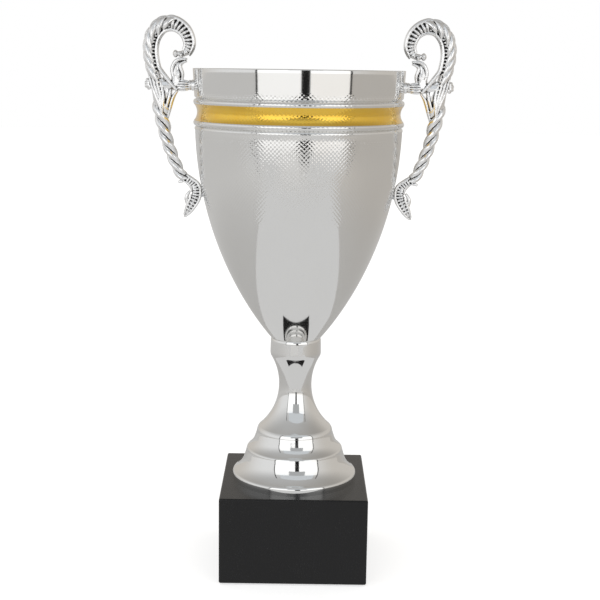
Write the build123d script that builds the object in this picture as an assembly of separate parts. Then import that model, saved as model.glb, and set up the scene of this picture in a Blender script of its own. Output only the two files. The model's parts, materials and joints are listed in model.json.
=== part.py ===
from build123d import *
import math
import os

# Cup trophy: a marble block, a stepped foot, a stem, a collar and a thin spun bowl on one tie rod,
# with two cast handles screwed to the bowl from inside.
# Millimetres. The pads rest on z = 0, the axis is Z, the front faces -Y and the handles lie along X.

# ---- Marble block and its pads ----
BASE_WIDTH = 100.0
BASE_HEIGHT = 60.0
BASE_EDGE_ROUND = 1.2
PAD_THICKNESS = 1.0
PAD_RADIUS = 7.0
PAD_INSET = 12.0                # pad centre to the block's side
COUNTERBORE_RADIUS = 15.0
COUNTERBORE_DEPTH = 15.0

# ---- Foot, stem and collar ----
FOOT_RADIUS = 43.3
FOOT_HEIGHT = 37.5
FOOT_WALL = 1.0
SHOULDER_RADIUS = 25.0          # top edge of the foot, where the stem stands
STEM_HEIGHT = 50.0
STEM_WALL = 1.2
WAIST_RADIUS = 11.3
WAIST_HEIGHT = 30.0             # narrowest place, above the stem's lower edge
COLLAR_HEIGHT = 13.0
COLLAR_WALL = 1.6
COLLAR_LOWER_RADIUS = 16.7
COLLAR_UPPER_RADIUS = 16.9
COLLAR_BULGE = 0.75             # how far the collar's barrel swells past its ends

# ---- Bowl ----
BOWL_HEIGHT = 182.2
BOWL_WALL = 0.8
RIM_RADIUS = 70.7
BAND_TAPER = 1.0                # the plain band is this much narrower at its lower edge
PLAIN_BAND = 19.6               # height of the plain band under the rim
BEAD_HEIGHT = 3.6               # rolled bead above and below the groove
BEAD_RISE = 0.65                # bead crest past the hull
NOTCH_DEPTH = 1.4               # sharp notch beyond each bead, from the plain band's radius
GROOVE_HEIGHT = 10.6
GROOVE_DEPTH = 2.0
SMALL_BEAD_HEIGHT = 3.0
GOLD_THICKNESS = 0.2

# ---- Tie rod and its hardware ----
ROD_RADIUS = 3.0
ROD_CLEARANCE = 0.3
NUT_FLATS = 10.0
NUT_HEIGHT = 5.0
THREAD_CLEARANCE = 0.05
LOCK_WASHER_RADIUS = 5.9
LOCK_WASHER_THICKNESS = 1.6
LOCK_WASHER_SLIT = 1.0
WIDE_WASHER_RADIUS = 12.0
WIDE_WASHER_THICKNESS = 1.6
ROD_PROUD = 2.5                 # rod past each nut

# ---- Handle screws ----
UPPER_SEAT_DROP = 11.2          # upper screw below the rim
LOWER_SEAT_DROP = 84.0          # lower screw below the rim
SCREW_RADIUS = 1.5
SCREW_HEAD_RADIUS = 2.8
SCREW_HEAD_HEIGHT = 2.0
SLOT_WIDTH = 0.8
SLOT_DEPTH = 0.9
SCREW_WASHER_RADIUS = 3.5
SCREW_WASHER_THICKNESS = 0.5
SCREW_CLEARANCE = 0.2           # screw in its hole through the bowl
UPPER_SCREW_GRIP = 9.0          # thread in the handle
LOWER_SCREW_GRIP = 5.0

# ---- Handle, as reach outwards and rise above its upper seat ----
HANDLE_LOWER_SEAT = (-6.0, -72.8)
# reach, rise, half width in the handle's plane, half depth across it
HANDLE_BODY = [
    (7.0, -88.4, 0.8, 1.2),
    (3.0, -81.8, 3.5, 2.4),
    (-0.8, -74.4, 4.4, 3.2),
    (-0.8, -67.8, 4.0, 3.2),
    (3.4, -63.4, 3.0, 3.2),
    (8.9, -59.2, 3.6, 3.8),
    (14.0, -48.6, 3.9, 4.2),
    (18.8, -34.5, 4.2, 4.4),
    (21.7, -19.5, 4.9, 4.6),
    (22.6, -8.5, 6.6, 4.8),
    (25.0, 2.5, 5.4, 4.8),
    (27.1, 12.0, 5.0, 4.6),
    (28.7, 21.5, 5.3, 4.6),
    (27.2, 31.0, 5.6, 4.6),
    (21.4, 38.4, 5.7, 4.6),
    (13.3, 39.8, 5.6, 4.5),
    (6.1, 35.3, 4.7, 4.3),
    (3.0, 27.5, 4.1, 3.8),
    (5.3, 21.4, 3.3, 3.2),
    (10.4, 20.2, 2.4, 2.4),
]
HANDLE_ARM = [
    (22.5, -0.6, 5.6, 4.2),
    (15.0, -0.2, 4.8, 4.0),
    (9.5, 0.0, 3.9, 3.5),
    (-1.5, 0.0, 3.0, 3.0),
]
HANDLE_LEAF = [
    (5.2, 17.0, 0.8, 1.2),
    (9.2, 16.0, 2.2, 2.2),
    (12.4, 11.6, 3.9, 3.0),
    (12.0, 6.0, 5.0, 3.4),
    (12.4, 1.0, 5.0, 3.4),
]
HANDLE_BALL = (12.2, 20.4, 2.7)         # reach, rise, radius
HANDLE_KNOB = (30.4, 0.8, 3.4)
SEAT_DISC_RADIUS = 3.5
SEAT_DISC_THICKNESS = 2.6

# ---- Levels up the axis ----
BASE_TOP = PAD_THICKNESS + BASE_HEIGHT
FOOT_TOP = BASE_TOP + FOOT_HEIGHT
STEM_TOP = FOOT_TOP + STEM_HEIGHT
BOWL_FLOOR = STEM_TOP + COLLAR_HEIGHT
RIM_LEVEL = BOWL_FLOOR + BOWL_HEIGHT
PLAIN_BAND_FOOT = RIM_LEVEL - PLAIN_BAND
GROOVE_TOP = PLAIN_BAND_FOOT - BEAD_HEIGHT
GROOVE_FOOT = GROOVE_TOP - GROOVE_HEIGHT
LOWER_BEAD_FOOT = GROOVE_FOOT - BEAD_HEIGHT
HULL_TOP = LOWER_BEAD_FOOT - SMALL_BEAD_HEIGHT
BAND_RADIUS = RIM_RADIUS - BAND_TAPER
HULL_RADIUS = BAND_RADIUS - 0.4
CREST_RADIUS = BAND_RADIUS + BEAD_RISE
ROD_BORE = ROD_RADIUS + ROD_CLEARANCE


def revolved(edges):
    """Solid of revolution between an open outline, listed from its foot up, and the axis."""
    low = edges[0] @ 0
    high = edges[-1] @ 1
    closing = [
        Line(high, (0, 0, high.Z)),
        Line((0, 0, high.Z), (0, 0, low.Z)),
        Line((0, 0, low.Z), low),
    ]
    return revolve(make_face(edges + closing), Axis.Z)


def disc(radius, bottom, height):
    return Pos(0, 0, bottom) * Cylinder(radius, height, align=(Align.CENTER, Align.CENTER, Align.MIN))


def ring(outer, inner, bottom, height):
    return disc(outer, bottom, height) - disc(inner, bottom, height)


def turned_shell(outline, wall, hollow_bottom, hollow_top, bore):
    """Thin turned shell: the outline less its own inset copy between two levels, bored on the axis."""
    outer = revolved(outline(0))
    reach = outer.bounding_box().max.X
    hollow = revolved(outline(wall)) & disc(reach, hollow_bottom, hollow_top - hollow_bottom)
    box = outer.bounding_box()
    return outer - hollow - disc(bore, box.min.Z, box.size.Z)


def save(solid, name):
    solid.label = name
    export_step(solid, f"parts/{name}.step")


# ---- Block and pads ----
def marble_base():
    block = Pos(0, 0, PAD_THICKNESS) * Box(
        BASE_WIDTH, BASE_WIDTH, BASE_HEIGHT, align=(Align.CENTER, Align.CENTER, Align.MIN)
    )
    block = fillet(block.edges(), BASE_EDGE_ROUND)
    block -= disc(COUNTERBORE_RADIUS, PAD_THICKNESS, COUNTERBORE_DEPTH)
    return block - disc(ROD_BORE, PAD_THICKNESS, BASE_HEIGHT)


def base_pads():
    offset = BASE_WIDTH / 2 - PAD_INSET
    corners = [(-1, -1), (1, -1), (1, 1), (-1, 1)]
    return [Pos(x * offset, y * offset, 0) * disc(PAD_RADIUS, 0, PAD_THICKNESS) for x, y in corners]


# ---- Foot, stem and collar: hollow turned shells, each with a bored plate at its top ----
def foot_outline(inset):
    """Stepped bell from its lower edge to its shoulder, as heights above the block."""
    def lower(step_in, height):
        return (FOOT_RADIUS - step_in - inset, 0, BASE_TOP + height)

    def upper(step_out, height):
        return (SHOULDER_RADIUS + step_out - inset, 0, BASE_TOP + height)

    return [
        Line(lower(0.1, 0), lower(0, 4.0)),
        ThreePointArc(lower(0, 4.0), lower(0.4, 5.3), lower(1.4, 6.2)),
        ThreePointArc(lower(1.4, 6.2), lower(5.5, 10.2), lower(8.2, 15.5)),
        Line(lower(8.2, 15.5), lower(9.8, 20.8)),
        ThreePointArc(lower(9.8, 20.8), lower(10.1, 22.0), lower(11.0, 22.9)),
        ThreePointArc(lower(11.0, 22.9), lower(13.8, 25.9), upper(2.8, 29.5)),
        Line(upper(2.8, 29.5), upper(1.4, 33.8)),
        ThreePointArc(upper(1.4, 33.8), upper(1.0, 35.8), upper(0, FOOT_HEIGHT)),
    ]


def stem_outline(inset):
    """One hollow curve from the shoulder in to the waist and out to the collar."""
    return [
        ThreePointArc(
            (SHOULDER_RADIUS - inset, 0, FOOT_TOP),
            (WAIST_RADIUS - inset, 0, FOOT_TOP + WAIST_HEIGHT),
            (COLLAR_LOWER_RADIUS - inset, 0, STEM_TOP),
        )
    ]


def collar_outline(inset):
    swell = max(COLLAR_LOWER_RADIUS, COLLAR_UPPER_RADIUS) + COLLAR_BULGE
    return [
        ThreePointArc(
            (COLLAR_LOWER_RADIUS - inset, 0, STEM_TOP),
            (swell - inset, 0, STEM_TOP + COLLAR_HEIGHT * 0.4),
            (COLLAR_UPPER_RADIUS - inset, 0, BOWL_FLOOR),
        )
    ]


def foot():
    return turned_shell(foot_outline, FOOT_WALL, BASE_TOP, FOOT_TOP - FOOT_WALL, ROD_BORE)


def stem():
    return turned_shell(stem_outline, STEM_WALL, FOOT_TOP, STEM_TOP - STEM_WALL, ROD_BORE)


def collar():
    return turned_shell(collar_outline, COLLAR_WALL, STEM_TOP, BOWL_FLOOR - COLLAR_WALL, ROD_BORE)


# ---- Bowl ----
def hull_curve(inset=0):
    """Bulging wall of the bowl, from the collar up to the small bead."""
    span = HULL_RADIUS - COLLAR_UPPER_RADIUS
    depth = HULL_TOP - BOWL_FLOOR
    return Bezier(
        (COLLAR_UPPER_RADIUS - inset, 0, BOWL_FLOOR),
        (COLLAR_UPPER_RADIUS + span * 0.04 - inset, 0, BOWL_FLOOR + depth * 0.02),
        (HULL_RADIUS - span * 0.05 - inset, 0, BOWL_FLOOR + depth * 0.385),
        (HULL_RADIUS - inset, 0, HULL_TOP),
    )


def groove_curve(inset=0):
    return ThreePointArc(
        (BAND_RADIUS - inset, 0, GROOVE_FOOT),
        (BAND_RADIUS - GROOVE_DEPTH - inset, 0, (GROOVE_FOOT + GROOVE_TOP) / 2),
        (BAND_RADIUS - inset, 0, GROOVE_TOP),
    )


def bowl_outline(inset):
    """The bowl's whole outer face, drawn inset from it, from the collar to the rim."""
    def point(radius, level):
        return (radius - inset, 0, level)

    notch = BAND_RADIUS - NOTCH_DEPTH
    lower_notch = point(notch, LOWER_BEAD_FOOT)
    upper_notch = point(notch, PLAIN_BAND_FOOT)
    groove_low = point(BAND_RADIUS, GROOVE_FOOT)
    groove_high = point(BAND_RADIUS, GROOVE_TOP)
    return [
        hull_curve(inset),
        ThreePointArc(
            point(HULL_RADIUS, HULL_TOP),
            point(HULL_RADIUS + 0.1, HULL_TOP + SMALL_BEAD_HEIGHT * 0.6),
            lower_notch,
        ),
        ThreePointArc(lower_notch, point(CREST_RADIUS, GROOVE_FOOT - BEAD_HEIGHT * 0.4), groove_low),
        groove_curve(inset),
        ThreePointArc(groove_high, point(CREST_RADIUS, GROOVE_TOP + BEAD_HEIGHT * 0.4), upper_notch),
        Line(upper_notch, point(BAND_RADIUS, PLAIN_BAND_FOOT + NOTCH_DEPTH)),
        Line(point(BAND_RADIUS, PLAIN_BAND_FOOT + NOTCH_DEPTH), point(RIM_RADIUS, RIM_LEVEL)),
    ]


def gold_band():
    """Gold finish in the groove, as a skin on the bowl's outer face."""
    inner = groove_curve()
    outer = groove_curve(-GOLD_THICKNESS)
    skin = make_face([inner, outer, Line(inner @ 0, outer @ 0), Line(inner @ 1, outer @ 1)])
    return revolve(skin, Axis.Z)


# ---- Where the handles' screws pass through the bowl's wall ----
def wall_radius(level):
    """The bowl's outer radius at a level of its hull or of its plain band."""
    if level > PLAIN_BAND_FOOT + NOTCH_DEPTH:
        climb = (level - PLAIN_BAND_FOOT - NOTCH_DEPTH) / (PLAIN_BAND - NOTCH_DEPTH)
        return BAND_RADIUS + BAND_TAPER * climb
    curve = hull_curve()
    low = 0.0
    high = 1.0
    for _ in range(40):
        middle = (low + high) / 2
        if (curve @ middle).Z < level:
            low = middle
        else:
            high = middle
    return (curve @ low).X


def seat_plane(level):
    """Plane on the wall's outer face at +X, with its Z outwards, square to the wall."""
    half_step = 0.5
    slope = (wall_radius(level + half_step) - wall_radius(level - half_step)) / (2 * half_step)
    return Plane(origin=(wall_radius(level), 0, level), x_dir=(0, 1, 0), z_dir=(1, 0, -slope))


UPPER_SEAT = seat_plane(RIM_LEVEL - UPPER_SEAT_DROP)
LOWER_SEAT = seat_plane(RIM_LEVEL - LOWER_SEAT_DROP)


def screw_and_washer(seat, grip):
    """Slotted pan-head screw driven outwards through the wall, with a washer under its head."""
    # A flat washer in a round bowl touches at its edge, so its middle stands off by the arc's rise.
    inner_radius = seat.origin.X - BOWL_WALL
    rise = inner_radius - math.sqrt(inner_radius**2 - SCREW_WASHER_RADIUS**2)
    washer_face = -BOWL_WALL - rise
    head_face = washer_face - SCREW_WASHER_THICKNESS
    washer = ring(SCREW_WASHER_RADIUS, SCREW_RADIUS + SCREW_CLEARANCE, head_face, SCREW_WASHER_THICKNESS)
    head = disc(SCREW_HEAD_RADIUS, head_face - SCREW_HEAD_HEIGHT, SCREW_HEAD_HEIGHT)
    head = fillet(head.edges().sort_by(Axis.Z)[0], SCREW_HEAD_HEIGHT * 0.6)
    head -= Pos(0, 0, head_face - SCREW_HEAD_HEIGHT) * Box(
        2 * SCREW_HEAD_RADIUS, SLOT_WIDTH, SLOT_DEPTH, align=(Align.CENTER, Align.CENTER, Align.MIN)
    )
    shank = disc(SCREW_RADIUS, head_face, grip - head_face)
    shank = chamfer(shank.edges().sort_by(Axis.Z)[-1], SCREW_RADIUS / 3)
    return seat * (head + shank), seat * washer


def screw_hole(seat, radius, start, end):
    return seat * disc(radius, start, end - start)


def bowl():
    shell = turned_shell(bowl_outline, BOWL_WALL, BOWL_FLOOR + BOWL_WALL, RIM_LEVEL, ROD_BORE)
    for seat in (UPPER_SEAT, LOWER_SEAT):
        hole = screw_hole(seat, SCREW_RADIUS + SCREW_CLEARANCE, -3 * BOWL_WALL, 3 * BOWL_WALL)
        shell -= hole
        shell -= mirror(hole, Plane.YZ)
    return shell


# ---- Tie rod, nuts and washers ----
def lock_washer(bottom):
    washer = ring(LOCK_WASHER_RADIUS, ROD_BORE, bottom, LOCK_WASHER_THICKNESS)
    slit = Pos(LOCK_WASHER_RADIUS / 2, 0, bottom) * Box(
        LOCK_WASHER_RADIUS * 1.2,
        LOCK_WASHER_SLIT,
        LOCK_WASHER_THICKNESS,
        align=(Align.CENTER, Align.CENTER, Align.MIN),
    )
    return washer - slit


def hex_nut(bottom):
    prism = extrude(RegularPolygon(NUT_FLATS / 2, 6, major_radius=False), NUT_HEIGHT)
    rounding = chamfer(disc(NUT_FLATS * 0.577, 0, NUT_HEIGHT).edges().filter_by(GeomType.CIRCLE), 0.6)
    nut = (prism & rounding) - disc(ROD_RADIUS + THREAD_CLEARANCE, 0, NUT_HEIGHT)
    return Pos(0, 0, bottom) * nut


def tie_rod(bottom, top):
    rod = disc(ROD_RADIUS, bottom, top - bottom)
    return chamfer(rod.edges().filter_by(GeomType.CIRCLE), ROD_RADIUS / 4)


# ---- Handles ----
def handle_placing():
    """Turn and scale that bring both of the handle's seats onto the bowl's wall."""
    drop = LOWER_SEAT.origin - UPPER_SEAT.origin
    nominal = Vector(HANDLE_LOWER_SEAT[0], 0, HANDLE_LOWER_SEAT[1])
    growth = drop.length / nominal.length
    turn = math.atan2(drop.X, -drop.Z) - math.atan2(nominal.X, -nominal.Z)
    return growth, turn


GROWTH, TURN = handle_placing()


def handle_point(reach, rise):
    """A handle point's place, with the upper seat as its origin."""
    x = (reach * math.cos(TURN) - rise * math.sin(TURN)) * GROWTH
    z = (reach * math.sin(TURN) + rise * math.cos(TURN)) * GROWTH
    return UPPER_SEAT.origin + Vector(x, 0, z)


def limb(stations):
    """Smooth limb through oval sections, each square to the line between its neighbours."""
    places = [handle_point(reach, rise) for reach, rise, _, _ in stations]
    ovals = []
    for index, (_, _, half_width, half_depth) in enumerate(stations):
        before = places[max(index - 1, 0)]
        after = places[min(index + 1, len(places) - 1)]
        plane = Plane(origin=places[index], x_dir=(0, 1, 0), z_dir=after - before)
        ovals.append(plane * Ellipse(half_depth * GROWTH, half_width * GROWTH))
    return loft(ovals)


def knob(reach, rise, radius):
    return Pos(*handle_point(reach, rise)) * Sphere(radius * GROWTH)


def right_handle():
    handle = limb(HANDLE_BODY) + limb(HANDLE_ARM) + limb(HANDLE_LEAF)
    handle += knob(*HANDLE_BALL)
    handle += knob(*HANDLE_KNOB)
    handle += UPPER_SEAT * disc(SEAT_DISC_RADIUS, -1, SEAT_DISC_THICKNESS + 1)
    handle -= revolved(bowl_outline(0))
    for seat, grip in ((UPPER_SEAT, UPPER_SCREW_GRIP), (LOWER_SEAT, LOWER_SCREW_GRIP)):
        handle -= screw_hole(seat, SCREW_RADIUS + THREAD_CLEARANCE, -1, grip + THREAD_CLEARANCE)
    return handle


def main():
    os.makedirs("parts", exist_ok=True)
    save(marble_base(), "marble_base")
    for number, pad in enumerate(base_pads(), 1):
        save(pad, f"base_pad_{number}")
    save(foot(), "foot")
    save(stem(), "stem")
    save(collar(), "collar")
    save(bowl(), "bowl")
    save(gold_band(), "gold_band")

    washer_level = PAD_THICKNESS + COUNTERBORE_DEPTH - WIDE_WASHER_THICKNESS
    lock_level = washer_level - LOCK_WASHER_THICKNESS
    nut_level = lock_level - NUT_HEIGHT
    save(ring(WIDE_WASHER_RADIUS, ROD_BORE, washer_level, WIDE_WASHER_THICKNESS), "base_washer")
    save(lock_washer(lock_level), "base_lock_washer")
    save(hex_nut(nut_level), "base_nut")

    inner_floor = BOWL_FLOOR + BOWL_WALL
    upper_lock_level = inner_floor + WIDE_WASHER_THICKNESS
    upper_nut_level = upper_lock_level + LOCK_WASHER_THICKNESS
    save(ring(WIDE_WASHER_RADIUS, ROD_BORE, inner_floor, WIDE_WASHER_THICKNESS), "bowl_washer")
    save(lock_washer(upper_lock_level), "bowl_lock_washer")
    save(hex_nut(upper_nut_level), "bowl_nut")
    save(tie_rod(nut_level - ROD_PROUD, upper_nut_level + NUT_HEIGHT + ROD_PROUD), "tie_rod")

    pieces = {"handle": right_handle()}
    for place, seat, grip in (
        ("upper", UPPER_SEAT, UPPER_SCREW_GRIP),
        ("lower", LOWER_SEAT, LOWER_SCREW_GRIP),
    ):
        pieces[f"{place}_screw"], pieces[f"{place}_washer"] = screw_and_washer(seat, grip)
    for name, piece in pieces.items():
        save(piece, f"right_{name}")
        save(mirror(piece, Plane.YZ), f"left_{name}")


main()
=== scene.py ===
import json
import math

import bpy
import numpy
from mathutils import Matrix, Vector

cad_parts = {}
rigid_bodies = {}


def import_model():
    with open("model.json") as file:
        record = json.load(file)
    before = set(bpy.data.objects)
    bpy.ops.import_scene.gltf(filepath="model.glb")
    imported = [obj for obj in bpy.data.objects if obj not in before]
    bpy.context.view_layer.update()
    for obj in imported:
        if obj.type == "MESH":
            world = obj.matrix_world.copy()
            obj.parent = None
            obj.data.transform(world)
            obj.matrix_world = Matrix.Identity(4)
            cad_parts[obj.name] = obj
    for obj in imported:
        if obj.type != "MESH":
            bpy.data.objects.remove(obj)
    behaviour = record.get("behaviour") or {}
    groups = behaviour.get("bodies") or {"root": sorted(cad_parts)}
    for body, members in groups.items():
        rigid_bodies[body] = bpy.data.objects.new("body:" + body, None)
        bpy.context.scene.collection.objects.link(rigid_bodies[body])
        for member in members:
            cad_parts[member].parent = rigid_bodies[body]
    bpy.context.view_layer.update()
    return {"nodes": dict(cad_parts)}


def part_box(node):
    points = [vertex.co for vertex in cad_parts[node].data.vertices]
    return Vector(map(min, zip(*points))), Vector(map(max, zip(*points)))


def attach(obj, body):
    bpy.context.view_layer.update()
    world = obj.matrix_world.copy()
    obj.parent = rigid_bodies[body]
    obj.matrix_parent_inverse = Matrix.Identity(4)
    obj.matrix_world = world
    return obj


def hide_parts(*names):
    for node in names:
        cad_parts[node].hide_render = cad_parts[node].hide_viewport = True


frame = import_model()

MM = 0.001
TURN_STEPS = 240                     # segments round a small turned piece
BOWL_STEPS = 320                     # and round the bowl
SMOOTH_ANGLE = math.radians(35)      # edges sharper than this stay crisp on turned pieces


# ---------------------------------------------------------------- shapes ----
def arc(start, middle, end, steps):
    """Points on the arc through three (radius, level) points, without the first."""
    (ax, ay), (bx, by), (cx, cy) = start, middle, end
    d = 2 * (ax * (by - cy) + bx * (cy - ay) + cx * (ay - by))
    a2, b2, c2 = ax * ax + ay * ay, bx * bx + by * by, cx * cx + cy * cy
    ux = (a2 * (by - cy) + b2 * (cy - ay) + c2 * (ay - by)) / d
    uy = (a2 * (cx - bx) + b2 * (ax - cx) + c2 * (bx - ax)) / d
    radius = math.hypot(ax - ux, ay - uy)
    first = math.atan2(ay - uy, ax - ux)
    via = (math.atan2(by - uy, bx - ux) - first) % math.tau
    sweep = (math.atan2(cy - uy, cx - ux) - first) % math.tau
    if via > sweep:
        sweep -= math.tau
    angles = [first + sweep * i / steps for i in range(1, steps + 1)]
    return [(ux + radius * math.cos(t), uy + radius * math.sin(t)) for t in angles]


def bezier(p0, p1, p2, p3, steps):
    """Points on a cubic curve with four control points, without the first."""
    controls = (p0, p1, p2, p3)
    points = []
    for i in range(1, steps + 1):
        t = i / steps
        s = 1 - t
        weights = (s**3, 3 * t * s * s, 3 * t * t * s, t**3)
        points.append(tuple(sum(w * p[k] for w, p in zip(weights, controls)) for k in (0, 1)))
    return points


def line(start, end, steps):
    """Points on a straight run, without the first."""
    return [
        (start[0] + (end[0] - start[0]) * i / steps, start[1] + (end[1] - start[1]) * i / steps)
        for i in range(1, steps + 1)
    ]


def only(piece):
    """Selects one object alone and makes it the active one."""
    bpy.ops.object.select_all(action="DESELECT")
    piece.select_set(True)
    bpy.context.view_layer.objects.active = piece


def turned(name, outline, steps=TURN_STEPS):
    """Spins a closed outline of (radius, level) points in mm round the Z axis."""
    bpy.ops.object.select_all(action="DESELECT")
    bpy.ops.mesh.primitive_circle_add(vertices=len(outline), radius=1)
    piece = bpy.context.object
    piece.name = name
    for vertex, (radius, level) in zip(piece.data.vertices, outline):
        vertex.co = (radius * MM, 0, level * MM)
    bpy.ops.object.mode_set(mode="EDIT")
    bpy.ops.mesh.select_all(action="SELECT")
    bpy.ops.mesh.spin(steps=steps, angle=math.tau, center=(0, 0, 0), axis=(0, 0, 1))
    bpy.ops.mesh.select_all(action="SELECT")
    bpy.ops.mesh.remove_doubles(threshold=1e-6)
    bpy.ops.mesh.normals_make_consistent(inside=False)
    bpy.ops.object.mode_set(mode="OBJECT")
    bpy.ops.object.shade_smooth_by_angle(angle=SMOOTH_ANGLE)
    return piece


# ------------------------------------------------------------- materials ----
def value(tree, operation, *inputs):
    """A Math node fed by numbers or sockets; returns its output."""
    node = tree.nodes.new("ShaderNodeMath")
    node.operation = operation
    for socket, given in zip(node.inputs, inputs):
        if isinstance(given, (int, float)):
            socket.default_value = given
        else:
            tree.links.new(given, socket)
    return node.outputs[0]


def group(name, inputs, outputs):
    """An empty shader node group with named float inputs (name, default) and outputs."""
    tree = bpy.data.node_groups.new(name, "ShaderNodeTree")
    for label, default in inputs:
        socket = tree.interface.new_socket(label, in_out="INPUT", socket_type="NodeSocketFloat")
        socket.default_value = default
    for label in outputs:
        tree.interface.new_socket(label, in_out="OUTPUT", socket_type="NodeSocketFloat")
    return tree, tree.nodes.new("NodeGroupInput"), tree.nodes.new("NodeGroupOutput")


def place_coordinates(tree):
    """Object coordinates split into x, y and z."""
    where = tree.nodes.new("ShaderNodeTexCoord")
    split = tree.nodes.new("ShaderNodeSeparateXYZ")
    tree.links.new(where.outputs["Object"], split.inputs[0])
    return where.outputs["Object"], split.outputs["X"], split.outputs["Y"], split.outputs["Z"]


def noise_value(tree, vector, scale, detail=2.0):
    """Cloudy noise from 0 to 1; a scale of 100 makes clouds of about 10 mm."""
    node = tree.nodes.new("ShaderNodeTexNoise")
    node.inputs["Scale"].default_value = scale
    node.inputs["Detail"].default_value = detail
    tree.links.new(vector, node.inputs["Vector"])
    return node.outputs["Fac"]


def ramp(tree, given, low=0.0, high=1.0, first=0.0, last=1.0, eased=True):
    """Runs from first to last as a given value goes from low to high."""
    node = tree.nodes.new("ShaderNodeMapRange")
    if eased:
        node.interpolation_type = "SMOOTHSTEP"
    tree.links.new(given, node.inputs["Value"])
    for label, end in (("From Min", low), ("From Max", high), ("To Min", first), ("To Max", last)):
        node.inputs[label].default_value = end
    return node.outputs[0]


def mixed(tree, mask, first, second):
    """A colour that goes from first to second as the mask goes from 0 to 1."""
    node = tree.nodes.new("ShaderNodeMix")
    node.data_type = "RGBA"
    for label, colour in (("A", first), ("B", second)):
        if isinstance(colour, tuple):
            node.inputs[label].default_value = (*colour, 1.0)
        else:
            tree.links.new(colour, node.inputs[label])
    tree.links.new(mask, node.inputs["Factor"])
    return node.outputs["Result"]


def build_hammering():
    """Staggered rows of small dimples round the Z axis, uneven in depth, fading out above and below."""
    drift, drift_size = 2.4, 140.0       # how far a row strays, in radians, and over what scale
    dimple_shape = 0.7                   # under 1 the dimples are wider than the ridges
    unevenness, uneven_size, least = 1.3, 420.0, 0.35
    inputs = (("Count", 166.0), ("Row Pitch", 0.0026), ("Low", 0.2445), ("High", 0.330), ("Fade", 0.006))
    tree, given, out = group("hammering", inputs, ("Height",))
    place, x, y, z = place_coordinates(tree)

    angle = value(tree, "MULTIPLY", value(tree, "ARCTAN2", y, x), given.outputs["Count"])
    rows = value(tree, "DIVIDE", value(tree, "MULTIPLY", z, math.tau), given.outputs["Row Pitch"])
    wander = noise_value(tree, place, drift_size, 1.0)
    rows = value(tree, "ADD", rows, value(tree, "MULTIPLY", wander, drift))
    lattice = value(tree, "MULTIPLY", value(tree, "COSINE", angle), value(tree, "COSINE", rows))
    dimple = value(tree, "POWER", value(tree, "MULTIPLY_ADD", lattice, 0.5, 0.5), dimple_shape)

    rise = value(tree, "DIVIDE", value(tree, "SUBTRACT", z, given.outputs["Low"]), given.outputs["Fade"])
    drop = value(tree, "DIVIDE", value(tree, "SUBTRACT", given.outputs["High"], z), given.outputs["Fade"])
    fade = value(tree, "MINIMUM", rise, value(tree, "MULTIPLY", drop, 2.0))
    clamp = tree.nodes.new("ShaderNodeClamp")
    tree.links.new(fade, clamp.inputs["Value"])

    clouds = noise_value(tree, place, uneven_size, 1.0)
    uneven = value(tree, "ADD", value(tree, "MULTIPLY", clouds, unevenness), least)
    depth = value(tree, "MULTIPLY", value(tree, "MULTIPLY", dimple, uneven), clamp.outputs[0])
    tree.links.new(value(tree, "MULTIPLY", depth, -1.0), out.inputs["Height"])
    return tree


def build_handling():
    """Faint smudges and hairline scuffs, as a mask of about 0 to 1."""
    smudge_share = 0.8
    scuff_rarity = 0.66                  # noise above this is a scuff
    tree, given, out = group("handling", (("Size", 45.0), ("Scuffs", 0.4)), ("Mask",))
    place, _, _, _ = place_coordinates(tree)
    smudge = tree.nodes.new("ShaderNodeTexNoise")
    smudge.inputs["Detail"].default_value = 4.0
    tree.links.new(place, smudge.inputs["Vector"])
    tree.links.new(given.outputs["Size"], smudge.inputs["Scale"])

    stretch = tree.nodes.new("ShaderNodeMapping")
    stretch.inputs["Scale"].default_value = (900.0, 900.0, 60.0)
    stretch.inputs["Rotation"].default_value = (0.5, 0.3, 0.9)
    tree.links.new(place, stretch.inputs["Vector"])
    streaks = noise_value(tree, stretch.outputs[0], 1.0, 1.0)
    scuffs = value(tree, "GREATER_THAN", streaks, scuff_rarity)
    scuffs = value(tree, "MULTIPLY", scuffs, given.outputs["Scuffs"])
    smudges = value(tree, "MULTIPLY", smudge.outputs["Fac"], smudge_share)
    tree.links.new(value(tree, "ADD", smudges, scuffs), out.inputs["Mask"])
    return tree


def build_recess_shade():
    """Mask for painted shade in hollows: rises from 0 to 1 as a hollow's depth (mm) goes from Shallow to
    Deep.
    """
    tree, given, out = group("recess_shade", (("Hollow", 0.0), ("Shallow", 0.08), ("Deep", 0.23)), ("Mask",))
    slope = tree.nodes.new("ShaderNodeMapRange")
    slope.interpolation_type = "SMOOTHSTEP"
    for label, socket in (("Value", "Hollow"), ("From Min", "Shallow"), ("From Max", "Deep")):
        tree.links.new(given.outputs[socket], slope.inputs[label])
    tree.links.new(slope.outputs[0], out.inputs["Mask"])
    return tree


def build_thread():
    """A screw thread's height about the Z axis."""
    tree, given, out = group("thread", (("Pitch", 0.001),), ("Height",))
    _, x, y, z = place_coordinates(tree)
    climb = value(tree, "DIVIDE", value(tree, "MULTIPLY", z, math.tau), given.outputs["Pitch"])
    wave = value(tree, "SINE", value(tree, "SUBTRACT", climb, value(tree, "ARCTAN2", y, x)))
    tree.links.new(wave, out.inputs["Height"])
    return tree


HAMMERING = build_hammering()
HANDLING = build_handling()
RECESS_SHADE = build_recess_shade()
THREAD = build_thread()


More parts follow.
